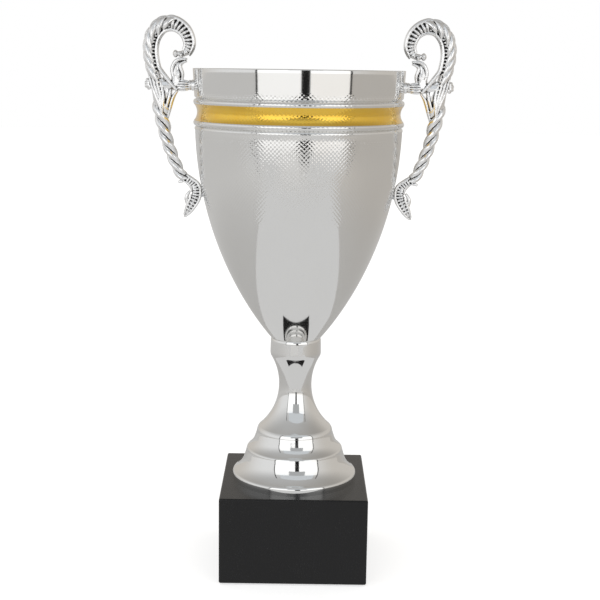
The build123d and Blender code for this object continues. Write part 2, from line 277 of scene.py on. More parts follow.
class Finish:
    """A material with one Principled shader and short ways to feed it."""

    def __init__(self, name, **constants):
        self.material = bpy.data.materials.new(name)
        self.material.use_nodes = True
        self.tree = self.material.node_tree
        self.shader = self.tree.nodes["Principled BSDF"]
        for label, given in constants.items():
            socket = self.shader.inputs[label.replace("_", " ").title().replace("Ior", "IOR")]
            socket.default_value = (*given, 1.0) if isinstance(given, tuple) else given
        self.material.diffuse_color = self.shader.inputs["Base Color"].default_value

    def effect(self, tree, **settings):
        """Places an effect's node group with its own values; returns its output."""
        node = self.tree.nodes.new("ShaderNodeGroup")
        node.node_tree = tree
        for label, given in settings.items():
            node.inputs[label.replace("_", " ").title()].default_value = given
        return node.outputs[0]

    def blend(self, mask, low, high, socket):
        """Runs a socket from low to high as the mask goes from 0 to 1."""
        run = ramp(self.tree, mask, first=low, last=high, eased=False)
        self.tree.links.new(run, self.shader.inputs[socket])

    def tint(self, mask, first, second):
        """Mixes two base colours by a mask."""
        self.tree.links.new(mixed(self.tree, mask, first, second), self.shader.inputs["Base Color"])

    def bump(self, height, distance):
        """Raises the surface by the distance (m) where the height is 1."""
        node = self.tree.nodes.new("ShaderNodeBump")
        node.inputs["Distance"].default_value = distance
        self.tree.links.new(height, node.inputs["Height"])
        self.tree.links.new(node.outputs["Normal"], self.shader.inputs["Normal"])


SILVER = (0.87, 0.87, 0.86)
SILVER_SMUDGED = (0.83, 0.825, 0.81)
CAST_BRIGHT = (0.97, 0.97, 0.97)
# painted shade: near-black colour for the casting's hollows
CAST_PAINTED_SHADE = (0.03, 0.03, 0.03)
GOLD = (0.96, 0.565, 0.05)
GOLD_PALE = (0.98, 0.68, 0.11)
MARBLE = (0.006, 0.006, 0.0065)
MARBLE_SPECK = (0.15, 0.15, 0.15)
ZINC = (0.66, 0.67, 0.69)
ZINC_DULL = (0.50, 0.51, 0.52)
FELT = (0.008, 0.008, 0.008)
FELT_FLUFF = (0.045, 0.045, 0.045)

# Heights of the surface textures, in metres.
HAMMER_DEPTH = 0.000058
GOLD_HAMMER_DEPTH = 0.000065
CAST_GRAIN = 0.00003
MARBLE_WAVE = 0.00004
THREAD_HEIGHT = 0.0004
FELT_PILE = 0.0003


def silver_plate(name="silver_plate"):
    finish = Finish(name, metallic=1.0, base_color=SILVER)
    mask = finish.effect(HANDLING, size=38.0, scuffs=0.25)
    finish.blend(mask, 0.045, 0.10, "Roughness")
    finish.tint(mask, SILVER, SILVER_SMUDGED)
    return finish


def hammered_silver():
    finish = silver_plate("hammered_silver_plate")
    finish.bump(finish.effect(HAMMERING), HAMMER_DEPTH)
    return finish


def gold_finish():
    """Gold under a thin clear lacquer."""
    finish = Finish("gold_lacquer", metallic=1.0, base_color=GOLD, coat_weight=0.6, coat_roughness=0.08)
    mask = finish.effect(HANDLING, size=120.0, scuffs=0.2)
    finish.blend(mask, 0.09, 0.17, "Roughness")
    finish.tint(mask, GOLD, GOLD_PALE)
    finish.bump(finish.effect(HAMMERING), GOLD_HAMMER_DEPTH)
    return finish


def cast_silver():
    """Bright silver with painted shade, near black, in the casting's hollows."""
    finish = Finish("cast_silver", metallic=1.0, base_color=SILVER)
    hollow = finish.tree.nodes.new("ShaderNodeAttribute")
    hollow.attribute_name = "hollow"
    recess_shade = finish.effect(RECESS_SHADE)
    finish.tree.links.new(hollow.outputs["Fac"], recess_shade.node.inputs["Hollow"])
    # painted shade: the hollows are tinted near black, the deeper the darker
    finish.tint(recess_shade, CAST_BRIGHT, CAST_PAINTED_SHADE)
    finish.blend(recess_shade, 0.20, 0.6, "Roughness")
    grain = noise_value(finish.tree, place_coordinates(finish.tree)[0], 1400.0, 3.0)
    finish.bump(grain, CAST_GRAIN)
    return finish


def black_marble():
    """Polished black stone with fine grey specks in loose clusters."""
    finish = Finish("black_marble", base_color=MARBLE, roughness=0.3, specular_ior_level=0.36)
    place = place_coordinates(finish.tree)[0]
    cell = finish.tree.nodes.new("ShaderNodeTexVoronoi")
    cell.inputs["Scale"].default_value = 900.0
    finish.tree.links.new(place, cell.inputs["Vector"])
    cluster = noise_value(finish.tree, place, 60.0, 5.0)
    size = value(finish.tree, "SUBTRACT", value(finish.tree, "MULTIPLY", cluster, 0.42), 0.08)
    speck = value(finish.tree, "LESS_THAN", cell.outputs["Distance"], size)
    finish.tint(value(finish.tree, "MULTIPLY", speck, 0.16), MARBLE, MARBLE_SPECK)
    mask = finish.effect(HANDLING, size=30.0, scuffs=0.2)
    finish.blend(mask, 0.20, 0.34, "Roughness")
    finish.bump(cluster, MARBLE_WAVE)
    return finish


def zinc_steel(name="zinc_steel"):
    finish = Finish(name, metallic=1.0, base_color=ZINC)
    mask = finish.effect(HANDLING, size=260.0, scuffs=0.5)
    finish.blend(mask, 0.22, 0.42, "Roughness")
    finish.tint(mask, ZINC, ZINC_DULL)
    return finish


def threaded_steel():
    finish = zinc_steel("threaded_steel")
    finish.bump(finish.effect(THREAD), THREAD_HEIGHT)
    return finish


def black_felt():
    finish = Finish("black_felt", base_color=FELT, roughness=0.95, sheen_weight=0.4)
    fibres = noise_value(finish.tree, place_coordinates(finish.tree)[0], 2600.0, 4.0)
    finish.tint(fibres, FELT, FELT_FLUFF)
    finish.bump(fibres, FELT_PILE)
    return finish


def wear(piece, finish):
    """Gives a piece or CAD node one finish all over."""
    piece.data.materials.clear()
    piece.data.materials.append(finish.material)


# ------------------------------------------------------ levels and walls ----
def level(node, end):
    """Lower (0) or upper (1) level of a CAD node, in mm."""
    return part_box(node)[end].z / MM


BLOCK_TOP = level("foot", 0)
FOOT_TOP = level("foot", 1)
STEM_TOP = level("stem", 1)
BOWL_FLOOR = level("bowl", 0)
RIM = level("bowl", 1)
GROOVE_FOOT = level("gold_band", 0)
GROOVE_TOP = level("gold_band", 1)
FOOT_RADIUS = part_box("foot")[1].x / MM
SHOULDER_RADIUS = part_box("stem")[1].x / MM
RIM_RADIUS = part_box("bowl")[1].y / MM
ROD_BORE = 3.3                       # radius of the holes that the rod passes through
SHEET = 0.8                          # bowl's wall
FOOT_SHEET = 1.0
STEM_WALL = 1.2
COLLAR_WALL = 1.6
WAIST_RADIUS = 11.3
WAIST_LEVEL = FOOT_TOP + 30.0
COLLAR_LOW_RADIUS = 16.7
COLLAR_TOP_RADIUS = 16.9
COLLAR_SWELL = 17.55
BAND_RADIUS = RIM_RADIUS - 1.0
HULL_RADIUS = BAND_RADIUS - 0.4
CREST_RADIUS = BAND_RADIUS + 0.65
NOTCH_RADIUS = BAND_RADIUS - 1.4
BEAD = 3.6                           # height of each bead beside the groove
HULL_TOP = GROOVE_FOOT - BEAD - 3.0
GROOVE_DEPTH = 2.0
GOLD_PROUD, GOLD_SUNK = 0.2, 0.3     # how far the gold skin stands out of and into the groove


def shell(outer, wall, plate_level):
    """Closed outline of a thin shell under an outer face, with a bored plate at its top."""
    inner = [(radius - wall, z) for radius, z in outer if z <= plate_level]
    inner.append((inner[-1][0], plate_level))
    return outer + [(ROD_BORE, outer[-1][1]), (ROD_BORE, plate_level)] + inner[::-1]


def foot_face():
    """Outer face of the foot, up two ledges from its lip to the stem's shoulder."""
    r, s, z = FOOT_RADIUS, SHOULDER_RADIUS, BLOCK_TOP
    face = [(r - 0.1, z)]
    face += line(face[-1], (r, z + 4.0), 2)
    face += arc(face[-1], (r - 0.4, z + 5.3), (r - 1.4, z + 6.2), 6)
    face += arc(face[-1], (r - 5.5, z + 10.2), (r - 8.2, z + 15.5), 12)
    face += line(face[-1], (r - 9.8, z + 20.8), 4)
    face += arc(face[-1], (r - 10.1, z + 22.0), (r - 11.0, z + 22.9), 6)
    face += arc(face[-1], (r - 13.8, z + 25.9), (s + 2.8, z + 29.5), 10)
    face += line(face[-1], (s + 1.4, z + 33.8), 3)
    face += arc(face[-1], (s + 1.0, z + 35.8), (s, FOOT_TOP), 8)
    return face


def stem_face():
    """Outer face of the waisted stem."""
    start = (SHOULDER_RADIUS, FOOT_TOP)
    return [start] + arc(start, (WAIST_RADIUS, WAIST_LEVEL), (COLLAR_LOW_RADIUS, STEM_TOP), 48)


def collar_face():
    """Outer face of the collar, a nearly straight wall between two rounded edges."""
    start = (COLLAR_LOW_RADIUS, STEM_TOP)
    face = [start] + arc(start, (COLLAR_SWELL - 0.4, STEM_TOP + 0.9), (COLLAR_SWELL, STEM_TOP + 2.8), 8)
    face += line(face[-1], (COLLAR_SWELL - 0.2, BOWL_FLOOR - 1.6), 6)
    return face + arc(face[-1], (COLLAR_SWELL - 0.4, BOWL_FLOOR - 0.6), (COLLAR_TOP_RADIUS, BOWL_FLOOR), 6)


def groove_face(proud=0.0):
    """Hollow face of the groove, or of a skin that stands proud of it."""
    start = (BAND_RADIUS + proud, GROOVE_FOOT)
    middle = (BAND_RADIUS - GROOVE_DEPTH + proud, (GROOVE_FOOT + GROOVE_TOP) / 2)
    return [start] + arc(start, middle, (BAND_RADIUS + proud, GROOVE_TOP), 16)


def bowl_face():
    """Outer face of the bowl, from its floor to just under the rim's lip."""
    span = HULL_RADIUS - COLLAR_TOP_RADIUS
    depth = HULL_TOP - BOWL_FLOOR
    start = (COLLAR_TOP_RADIUS, BOWL_FLOOR)
    face = [start] + bezier(
        start,
        (start[0] + span * 0.04, start[1] + depth * 0.02),
        (HULL_RADIUS - span * 0.05, start[1] + depth * 0.385),
        (HULL_RADIUS, HULL_TOP),
        72,
    )
    lower_notch = (NOTCH_RADIUS, GROOVE_FOOT - BEAD)
    upper_notch = (NOTCH_RADIUS, GROOVE_TOP + BEAD)
    face += arc(face[-1], (HULL_RADIUS + 0.1, HULL_TOP + 1.8), lower_notch, 8)
    face += arc(face[-1], (CREST_RADIUS, GROOVE_FOOT - BEAD * 0.4), (BAND_RADIUS, GROOVE_FOOT), 10)
    face += groove_face()[1:]
    face += arc(face[-1], (CREST_RADIUS, GROOVE_TOP + BEAD * 0.4), upper_notch, 10)
    face += line(face[-1], (BAND_RADIUS, upper_notch[1] + 1.4), 3)
    face += line(face[-1], (RIM_RADIUS, RIM - SHEET / 2), 8)
    return face


# ---------------------------------------------------------- turned parts ----
def fit_out(piece, node, finish):
    """Finishes a new piece and puts it in its CAD node's place."""
    wear(piece, finish)
    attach(piece, "root")
    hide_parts(node)


def make_foot(finish):
    piece = turned("foot_bell", shell(foot_face(), FOOT_SHEET, FOOT_TOP - FOOT_SHEET))
    fit_out(piece, "foot", finish)


def make_stem(finish):
    piece = turned("stem_column", shell(stem_face(), STEM_WALL, STEM_TOP - STEM_WALL))
    fit_out(piece, "stem", finish)


def make_collar(finish):
    piece = turned("collar_ring", shell(collar_face(), COLLAR_WALL, BOWL_FLOOR - COLLAR_WALL))
    fit_out(piece, "collar", finish)


def make_bowl(finish):
    outer = bowl_face()
    rim_radius = RIM_RADIUS - SHEET / 2
    lip = arc(outer[-1], (rim_radius, RIM), (RIM_RADIUS - SHEET, RIM - SHEET / 2), 8)
    floor_level = BOWL_FLOOR + SHEET
    inner = [(radius - SHEET, z) for radius, z in outer if z > floor_level]
    floor = [(inner[0][0] - 0.6, floor_level), (ROD_BORE, floor_level), (ROD_BORE, BOWL_FLOOR)]
    piece = turned("bowl_sheet", outer + lip + inner[-2::-1] + floor, steps=BOWL_STEPS)
    fit_out(piece, "bowl", finish)


def make_gold_band(finish):
    piece = turned("gold_skin", groove_face(GOLD_PROUD) + groove_face(-GOLD_SUNK)[::-1], steps=BOWL_STEPS)
    fit_out(piece, "gold_band", finish)


# ----------------------------------------------------------- cast handles ----
# A handle lies in the XZ plane. Its points are (reach, rise) in mm from the middle of
# its upper seat on the cup's wall, and each station adds (half width, half depth).
SEAT_DROP = 11.2                     # how far the upper seat is below the rim
UPPER_SEAT = (BAND_RADIUS + 0.4, RIM - SEAT_DROP)
HANDLE_STATIONS = [
    (7.0, -88.4, 0.8, 1.2),
    (3.0, -81.8, 3.5, 2.4),
    (-0.8, -74.4, 4.4, 3.2),
    (-0.8, -67.8, 4.0, 3.2),
    (3.4, -63.4, 3.0, 3.2),
    (8.9, -59.2, 3.6, 3.8),
    (14.0, -48.6, 3.9, 4.2),
    (18.8, -34.5, 4.2, 4.4),
    (21.7, -19.5, 4.9, 4.6),
    (22.6, -8.5, 6.6, 4.8),
    (25.0, 2.5, 5.4, 4.8),
    (27.1, 12.0, 5.0, 4.6),
    (28.6, 21.5, 5.2, 4.6),
    (27.2, 31.0, 5.6, 4.6),
    (21.4, 38.4, 5.7, 4.6),
    (13.3, 39.7, 5.5, 4.5),
    (6.1, 35.3, 4.7, 4.3),
    (3.0, 27.5, 4.1, 3.8),
    (5.3, 21.4, 3.3, 3.2),
    (10.4, 20.2, 2.4, 2.4),
]
STEM_FOOT, STEM_HEAD = 4.6, 8.9      # stretch of stations that is twisted like a rope
ROPE_PITCH = 27.0                    # mm for one full turn of a strand
ROPE_STRANDS = 3
STRAND_OFFSET, STRAND_SIZE = 0.60, 0.50     # shares of the rope's half width
CAST_VOXEL = 0.345                   # mm, finest detail of the casting
WALL_CLEARANCE = 0.03                # mm between the casting and the cup's wall
HOLLOW_PASSES = 14                   # smoothing rounds that a hollow's depth is judged against
PAD_SEGMENTS = 64
PAD_EDGE = 0.25                      # mm, rounding of a felt pad's edges


def station(place):
    """Station values at a fractional place along the handle, on a smooth curve."""
    index = min(max(int(place), 0), len(HANDLE_STATIONS) - 2)
    part = place - index
    last = len(HANDLE_STATIONS) - 1
    p0, p1, p2, p3 = (HANDLE_STATIONS[min(max(index + shift, 0), last)] for shift in (-1, 0, 1, 2))
    return [
        0.5 * (2 * b + (c - a) * part + (2 * a - 5 * b + 4 * c - d) * part**2
               + (3 * b - a - 3 * c + d) * part**3)
        for a, b, c, d in zip(p0, p1, p2, p3)
    ]


def plane_point(reach, rise, depth=0.0):
    """Point of the +X handle, in mm, at a depth behind its middle plane."""
    return Vector((UPPER_SEAT[0] + reach, depth, UPPER_SEAT[1] + rise))


def on_handle(place, across, turn, share=1.0):
    """Point on the handle's oval section: across is -1 at its inner edge and 1 at its
    outer edge, turn is -1 for the front face and 1 for the back, and a share under 1
    sinks the point towards the middle."""
    reach, rise, width, depth = station(place)
    before, after = station(place - 0.05), station(place + 0.05)
    along = Vector((after[0] - before[0], 0, after[1] - before[1])).normalized()
    outward = Vector((along.z, 0, -along.x))
    lift = math.sqrt(max(1 - across**2, 0)) * depth * turn
    return plane_point(reach, rise) + (outward * across * width + Vector((0, lift, 0))) * share


def handle_length(start, end, steps=4):
    """Length in mm of the handle's middle line between two places."""
    points = [plane_point(*station(start + (end - start) * i / steps)[:2]) for i in range(steps + 1)]
    return sum((b - a).length for a, b in zip(points, points[1:]))


class Strands:
    """Many round tapering strands, gathered as one curve and then made a mesh."""

    def __init__(self, name):
        self.curve = bpy.data.curves.new(name, "CURVE")
        self.curve.dimensions = "3D"
        self.curve.bevel_depth = MM
        self.curve.bevel_resolution = 3
        self.curve.resolution_u = 5
        self.curve.use_fill_caps = True
        self.piece = bpy.data.objects.new(name, self.curve)
        bpy.context.scene.collection.objects.link(self.piece)

    def add(self, places, radii):
        """One strand through places (mm) with a radius (mm) at each."""
        spline = self.curve.splines.new("NURBS")
        spline.points.add(len(places) - 1)
        for point, place, radius in zip(spline.points, places, radii):
            point.co = (*(place * MM), 1.0)
            point.radius = radius
        spline.order_u = 3
        spline.use_endpoint_u = True

    def both_faces(self, path, radii):
        """The same strand on the front and on the back; path(turn) gives its places."""
        for turn in (-1, 1):
            self.add(path(turn), radii)

    def mesh(self):
        """Turns the gathered strands into one mesh piece."""
        only(self.piece)
        bpy.ops.object.convert(target="MESH")
        return bpy.context.object


def leaf_radii(count, widest, ends=0.25):
    """Radii that swell to the widest in the middle and taper to a share of it at both ends."""
    return [widest * (ends + (1 - ends) * math.sin(math.pi * i / (count - 1))) for i in range(count)]


def evenly(start, end, count):
    """Evenly spaced values from start to end."""
    return [start + (end - start) * i / (count - 1) for i in range(count)]


def core_share(place):
    """How much of the handle's width is core: less where full ornament stands on it."""
    if place < STEM_FOOT:
        return 0.66
    if place < STEM_HEAD - 0.8:
        return 0.45
    return 0.74


def handle_core():
    """Plain limbs under the ornament, each given as (reach, rise, radius)."""
    core = Strands("handle_core")
    places = evenly(0, len(HANDLE_STATIONS) - 1, 77)
    spine = []
    for place in places:
        reach, rise, width, _ = station(place)
        spine.append((reach, rise, width * core_share(place)))
    gusset = [(23.0, 3.0, 3.6), (18.4, -3.0, 4.0), (17.6, -8.0, 3.2)]
    gusset += [(18.6, -14.0, 2.4), (19.6, -20.0, 1.8)]
    arm = [(22.5, -0.6, 4.6), (17.0, -0.3, 3.9), (11.0, 0.0, 3.2), (5.0, 0.0, 2.7), (-1.5, 0.0, 2.3)]
    leaf = [(5.4, 16.6, 0.8), (9.2, 15.8, 1.6), (12.2, 11.6, 2.6), (11.6, 6.0, 3.5), (12.0, -0.5, 3.6)]
    for limb in (spine, gusset, arm, leaf):
        core.add([plane_point(reach, rise) for reach, rise, _ in limb], [radius for *_, radius in limb])
    return core.mesh()


def rope(strands):
    """Three full strands twisted round the stem, thinning out at both ends."""
    count = 56
    places = evenly(STEM_FOOT - 0.5, STEM_HEAD + 0.3, count)
    angles = [0.0]
    for before, after in zip(places, places[1:]):
        angles.append(angles[-1] + handle_length(before, after) / ROPE_PITCH * math.tau)
    thinning = [min(1.0, 0.25 + i * 0.11, 0.25 + (count - 1 - i) * 0.075) for i in range(count)]
    for strand in range(ROPE_STRANDS):
        path = []
        radii = []
        for place, angle, share in zip(places, angles, thinning):
            reach, rise, width, depth = station(place)
            phase = angle + strand * math.tau / ROPE_STRANDS
            sideways = on_handle(place, math.cos(phase) * STRAND_OFFSET, 0) - plane_point(reach, rise)
            behind = math.sin(phase) * STRAND_OFFSET * depth
            path.append(plane_point(reach, rise, behind) + sideways)
            radii.append(width * STRAND_SIZE * share)
        strands.add(path, radii)


def volute_rims(strands):
    """Smooth raised edges of the big curl, and the cross ribs between them at its end."""
    edge, sunk = 0.74, 0.98
    start = [(11.2, -3.4), (14.4, -0.2), (17.4, 3.6)]

    def inner(turn):
        lead = [plane_point(reach, rise, turn * 3.1) for reach, rise in start]
        return lead + [on_handle(place, -edge, turn, sunk) for place in evenly(10.8, 18.0, 30)]

    strands.both_faces(inner, [1.0, 1.15, 1.2] + evenly(1.25, 0.95, 30))
    strands.both_faces(
        lambda turn: [on_handle(place, edge, turn, sunk) for place in evenly(14.7, 17.9, 20)],
        [0.5, 0.8] + [1.15] * 16 + [0.9, 0.6],
    )
    strands.add([on_handle(place, 0.8, 0) for place in evenly(14.5, 18.0, 20)], [0.7, 1.0] + [1.2] * 18)
    rib_count = 11
    for place in evenly(14.95, 17.95, rib_count):
        strands.both_faces(
            lambda turn: [
                on_handle(place + 0.06 * across, across, turn, 0.90)
                for across in (-0.6, -0.3, 0.0, 0.3, 0.6)
            ],
            leaf_radii(5, 1.0, 0.8),
        )


def gusset_leaves(strands):
    """Leaves that run from the arm and the knob down into the rope."""
    under_arm = [
        ([(11.0, -3.8), (13.2, -6.4), (14.8, -10.2), (16.0, -15.0), (17.4, -21.0)], 1.6),
        ([(15.4, -2.6), (16.0, -6.6), (17.2, -11.0), (18.8, -16.4)], 3.2),
    ]
    for leaf, depth in under_arm:
        strands.both_faces(
            lambda turn: [plane_point(reach, rise, turn * depth) for reach, rise in leaf],
            leaf_radii(len(leaf), 1.25, 0.5),
        )
    foot, foot_across = 8.0, -0.15
    for number in range(4):
        top, across = 10.7 - 0.25 * number, 0.80 - 0.44 * number
        strands.both_faces(
            lambda turn: [
                on_handle(
                    top + (foot - top) * step, across + (foot_across - across) * step**1.6, turn, 0.93
                )
                for step in evenly(0.0, 1.0, 7)
            ],
            leaf_radii(7, 1.08, 0.5),
        )


def bead_row(strands):
    """Small cross beads beside the inner rim, drawn out to ribs towards the arm."""
    bead_count = 19
    for number, place in enumerate(evenly(8.9, 13.45, bead_count)):
        width = max(0.26, 0.95 - 0.13 * number)
        strands.both_faces(
            lambda turn: [
                on_handle(place - 0.10 * step * width, -0.52 + step * width, turn, 0.92)
                for step in (0.0, 0.33, 0.66, 1.0)
            ],
            leaf_radii(4, 0.68, 0.6),
        )


def outer_leaves(strands):
    """Long overlapping leaves, each with a thin fold and a curled tip, over the back of the curl."""
    leaf_count, first_leaf, leaf_step = 7, 9.85, 0.68
    for number in range(leaf_count):
        start = first_leaf + leaf_step * number
        over_ribs = number > leaf_count - 3
        root = -0.62 if over_ribs else -0.24
        length = 1.25 if over_ribs else 1.5

        def blade(turn):
            points = []
            for step in evenly(0.0, 1.0, 8):
                across = min(root + fold + (0.84 - root) * step**1.1, 0.89)
                points.append(on_handle(start + length * step, across, turn, 0.95))
            return points

        for fold, widest in ((0.0, 1.9), (0.36, 0.855)):
            strands.both_faces(blade, leaf_radii(8, widest, 0.2))
        tip = start + length - 0.85
        strands.add(
            [on_handle(tip + 0.85 * step, 0.66 + 0.20 * step, 0) for step in evenly(0.0, 1.0, 6)],
            leaf_radii(6, 1.55, 0.35),
        )


def curl_knob(strands):
    """Shell-like curl on the outside of the handle, its ribs fanned from one root."""
    root_reach, root_rise = 27.2, 0.4
    for degrees, length in ((62, 4.4), (36, 5.2), (10, 5.2), (-16, 5.2), (-42, 4.4)):
        fan = math.radians(degrees)

        def rib(turn):
            points = []
            for far in (0.15, 0.4, 0.65, 0.85, 1.0):
                depth = 0.5 + 1.6 * math.sin(math.pi * min(far * 1.05, 1))
                reach = root_reach + math.cos(fan) * far * length
                rise = root_rise + math.sin(fan) * far * length
                points.append(plane_point(reach, rise, turn * depth))
            return points

        strands.both_faces(rib, (0.7, 0.95, 1.15, 1.25, 1.1))


def curl_leaf(strands):
    """S-shaped leaf that stands on the arm and holds up the end of the curl."""
    outline = [(4.6, 16.9), (8.6, 17.4), (12.4, 15.6), (14.5, 11.4), (14.6, 6.8), (12.8, 3.0)]
    inside = [(4.8, 15.6), (8.2, 14.6), (9.4, 12.2), (8.0, 9.2), (7.3, 6.2), (8.0, 3.2)]
    veins = [
        [(11.8, 12.6), (12.3, 9.6), (12.6, 6.0), (11.8, 3.6)],
        [(10.0, 9.6), (10.2, 7.4), (10.2, 5.2), (10.4, 3.4)],
    ]
    for edge, widest in ((outline, 1.35), (inside, 1.15)):
        strands.both_faces(
            lambda turn: [plane_point(reach, rise, turn * 1.7) for reach, rise in edge],
            leaf_radii(len(edge), widest, 0.55),
        )
    for vein in veins:
        strands.both_faces(
            lambda turn: [plane_point(reach, rise, turn * 2.5) for reach, rise in vein],
            leaf_radii(len(vein), 1.15, 0.35),
        )


def arm_flutes(strands):
    """Flutes along the arm, its ring and the seat against the cup."""
    half_height, flatness = 3.5, 0.9
    for turn in (-1, 1):
        for flute in evenly(-1.05, 1.05, 5):
            path = []
            for reach, size in ((13.0, 0.6), (10.0, 0.95), (7.0, 1.0), (4.6, 0.88), (2.9, 0.75)):
                half = half_height * size
                depth = turn * math.cos(flute) * half * flatness
                path.append(plane_point(reach, math.sin(flute) * half - 0.3, depth))
            strands.add(path, (0.5, 0.8, 0.85, 0.75, 0.5))
    for reach, radius, thickness in ((2.7, 2.7, 0.75), (0.9, 2.6, 1.1), (-0.3, 2.6, 1.2)):
        angles = evenly(0, math.tau * 1.04, 26)
        ring = [plane_point(reach, math.sin(angle) * radius, math.cos(angle) * radius) for angle in angles]
        strands.add(ring, [thickness] * len(ring))


def curl_tip(strands):
    """Ball and berries at the end of the big curl, on both faces."""
    shape = ((-0.7, 0.35), (-0.35, 0.95), (0.0, 1.0), (0.35, 0.95), (0.7, 0.35))
    ball = (12.2, 20.4, 0.0, 2.6)
    berries = ((12.6, 20.8, 1.5, 1.4), (8.4, 19.6, 2.0, 1.5), (5.6, 20.8, 2.5, 1.6))
    for reach, rise, depth, radius in (ball, *berries):
        for turn in (-1, 1):
            strands.add(
                [plane_point(reach + along * radius, rise, turn * depth) for along, _ in shape],
                [radius * share for _, share in shape],
            )


def lower_scroll(strands):
    """Raised edges, beads and barbs of the small scroll at the handle's foot."""
    strands.both_faces(
        lambda turn: [on_handle(place, -0.72, turn, 0.97) for place in evenly(0.15, 4.5, 18)],
        [0.45, 0.7] + [0.95] * 14 + [0.8, 0.6],
    )
    for start, end in ((0.25, 2.15), (2.45, 4.55)):
        strands.both_faces(
            lambda turn: [on_handle(place, 0.72, turn, 0.97) for place in evenly(start, end, 10)],
            leaf_radii(10, 0.95, 0.5),
        )
    bead_count = 13
    for place in evenly(0.85, 4.15, bead_count):
        strands.both_faces(
            lambda turn: [on_handle(place, across, turn, 0.94) for across in (-0.5, 0.0, 0.5)],
            (0.7, 0.78, 0.7),
        )
    barbs = [
        [(5.8, -63.6), (8.4, -63.6), (10.8, -64.8)],
        [(3.0, -70.6), (5.0, -73.2), (5.6, -76.4), (4.8, -80.0)],
    ]
    for barb in barbs:
        strands.both_faces(
            lambda turn: [plane_point(reach, rise, turn * 0.8) for reach, rise in barb],
            leaf_radii(len(barb), 1.5, 0.55),
        )


def seated_on_cup(piece):
    """Brings whatever would reach into the cup out onto its wall."""
    face = bowl_face()
    levels = [z for _, z in face]
    radii = [radius for radius, _ in face]
    points = numpy.empty(len(piece.data.vertices) * 3)
    piece.data.vertices.foreach_get("co", points)
    points = points.reshape(-1, 3) / MM
    around = numpy.hypot(points[:, 0], points[:, 1])
    wall = numpy.interp(points[:, 2], levels, radii) + WALL_CLEARANCE
    inside = (around < wall) & (points[:, 2] < RIM)
    points[inside, :2] *= (wall[inside] / around[inside])[:, None]
    piece.data.vertices.foreach_set("co", (points * MM).ravel())
    piece.data.update()


def keep_outer_skin(piece):
    """Deletes the specks and closed pockets that aren't joined to the outermost point."""
    bpy.ops.object.mode_set(mode="EDIT")
    bpy.ops.mesh.select_all(action="DESELECT")
    bpy.ops.object.mode_set(mode="OBJECT")
    outermost = max(piece.data.vertices, key=lambda vertex: vertex.co.x)
    outermost.select = True
    bpy.ops.object.mode_set(mode="EDIT")
    bpy.ops.mesh.select_linked()
    bpy.ops.mesh.select_all(action="INVERT")
    bpy.ops.mesh.delete(type="VERT")
    bpy.ops.object.mode_set(mode="OBJECT")


def store_hollows(piece):
    """Keeps how far each point lies below its smoothed neighbourhood, in mm, as 'hollow'."""
    mesh = piece.data
    count = len(mesh.vertices)
    points = numpy.empty(count * 3)
    mesh.vertices.foreach_get("co", points)
    points = points.reshape(-1, 3)
    normals = numpy.empty(count * 3)
    mesh.vertices.foreach_get("normal", normals)
    edges = numpy.empty(len(mesh.edges) * 2, dtype=int)
    mesh.edges.foreach_get("vertices", edges)
    first, second = edges.reshape(-1, 2).T
    neighbours = numpy.bincount(first, minlength=count) + numpy.bincount(second, minlength=count)
    smooth = points.copy()
    for _ in range(HOLLOW_PASSES):
        total = numpy.zeros_like(smooth)
        for axis in range(3):
            total[:, axis] += numpy.bincount(first, smooth[second, axis], count)
            total[:, axis] += numpy.bincount(second, smooth[first, axis], count)
        smooth = 0.5 * smooth + 0.5 * total / neighbours[:, None]
    depth = ((smooth - points) * normals.reshape(-1, 3)).sum(axis=1) / MM
    hollow = mesh.attributes.new("hollow", "FLOAT", "POINT")
    hollow.data.foreach_set("value", depth)


ORNAMENTS = (
    rope,
    volute_rims,
    gusset_leaves,
    bead_row,
    outer_leaves,
    curl_knob,
    curl_leaf,
    arm_flutes,
    curl_tip,
    lower_scroll,
)


def cast_handle():
    """The +X handle as one casting: core and ornament fused, slightly softened, seated on the cup."""
    strands = Strands("handle_ornament")
    for ornament in ORNAMENTS:
        ornament(strands)
    core = handle_core()
    relief = strands.mesh()
    only(core)
    relief.select_set(True)
    bpy.ops.object.join()
    handle = bpy.context.object
    handle.name = "right_cast_handle"
    handle.data.remesh_voxel_size = CAST_VOXEL * MM
    bpy.ops.object.voxel_remesh()
    keep_outer_skin(handle)
    soften = handle.modifiers.new("soften", "SMOOTH")
    soften.factor = 0.5
    soften.iterations = 2
    bpy.ops.object.modifier_apply(modifier="soften")
    seated_on_cup(handle)
    store_hollows(handle)
    bpy.ops.object.shade_smooth()
    return handle


def make_handles(finish):
    """Casts the right handle and mirrors it for the left."""
    right = cast_handle()
    only(right)
    bpy.ops.object.duplicate()
    left = bpy.context.object
    left.name = "left_cast_handle"
    left.data.transform(Matrix.Scale(-1, 4, (1, 0, 0)))
    left.data.flip_normals()
    fit_out(right, "right_handle", finish)
    fit_out(left, "left_handle", finish)


def make_pads(finish):
    """Four felt discs under the block, each with a softly rounded edge."""
    for number in range(1, 5):
        node = f"base_pad_{number}"
        low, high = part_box(node)
        middle = (low + high) / 2
        bpy.ops.object.select_all(action="DESELECT")
        bpy.ops.mesh.primitive_cylinder_add(
            vertices=PAD_SEGMENTS, radius=(high.x - low.x) / 2, depth=high.z - low.z, location=middle
        )
        pad = bpy.context.object
        pad.name = f"felt_pad_{number}"
        bpy.ops.object.transform_apply(location=True, rotation=True, scale=True)
        bevel = pad.modifiers.new("edge", "BEVEL")
        bevel.width = PAD_EDGE * MM
        bevel.segments = 3
        bpy.ops.object.modifier_apply(modifier="edge")
        bpy.ops.object.shade_smooth_by_angle(angle=math.radians(40))
        fit_out(pad, node, finish)


def dress_cad_nodes(finishes):
    """Finishes the CAD nodes that stay: the block, the rod and the fixings."""
    own = {"marble_base": "marble", "tie_rod": "thread"}
    for name, node in frame["nodes"].items():
        if not node.hide_render:
            wear(node, finishes[own.get(name, "steel")])


